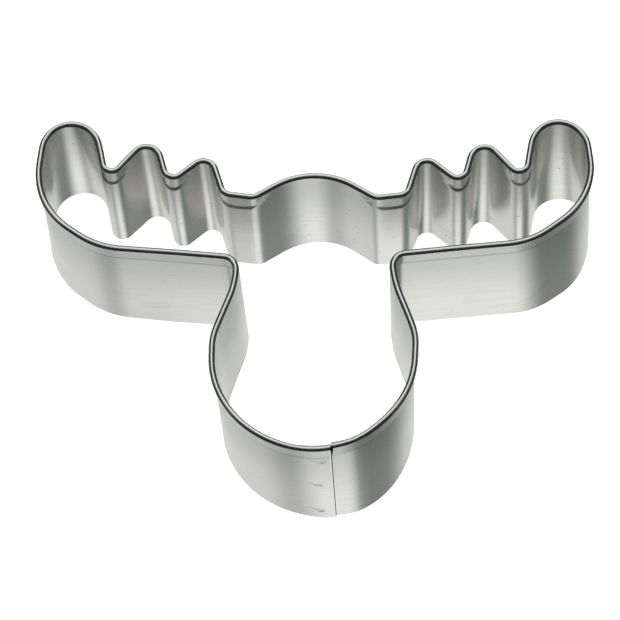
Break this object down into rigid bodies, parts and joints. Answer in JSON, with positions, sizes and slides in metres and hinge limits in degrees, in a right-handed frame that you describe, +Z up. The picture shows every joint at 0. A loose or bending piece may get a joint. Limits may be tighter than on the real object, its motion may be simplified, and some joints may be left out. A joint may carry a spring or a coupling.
{
  "type": "cookie cutter",
  "caption": "Moose-head cookie cutter: a thin steel strip bent on edge, with a folded safe rim above, a plain cutting edge below and a spot-welded lap.",
  "frame": {"origin": "on the surface that the cutting edge stands on, below the middle of the overall box", "axes": "+Z up from the cutting edge to the folded rim, +Y from the muzzle to the antlers, +X across the antlers to the right seen from the muzzle"},
  "size_m": [0.0744, 0.048, 0.022],
  "materials": {
    "steel_strip": "cold-rolled stainless sheet, satin, with soft streaks across the strip and small scuffs",
    "weld_steel": "resistance-welded spot, slightly darker and smoother than the sheet"
  },
  "bodies": {
    "root": {"cutter_strip": "steel_strip", "weld_spot_upper": "weld_steel", "weld_spot_middle": "weld_steel", "weld_spot_lower": "weld_steel"}
  },
  "joints": []
}
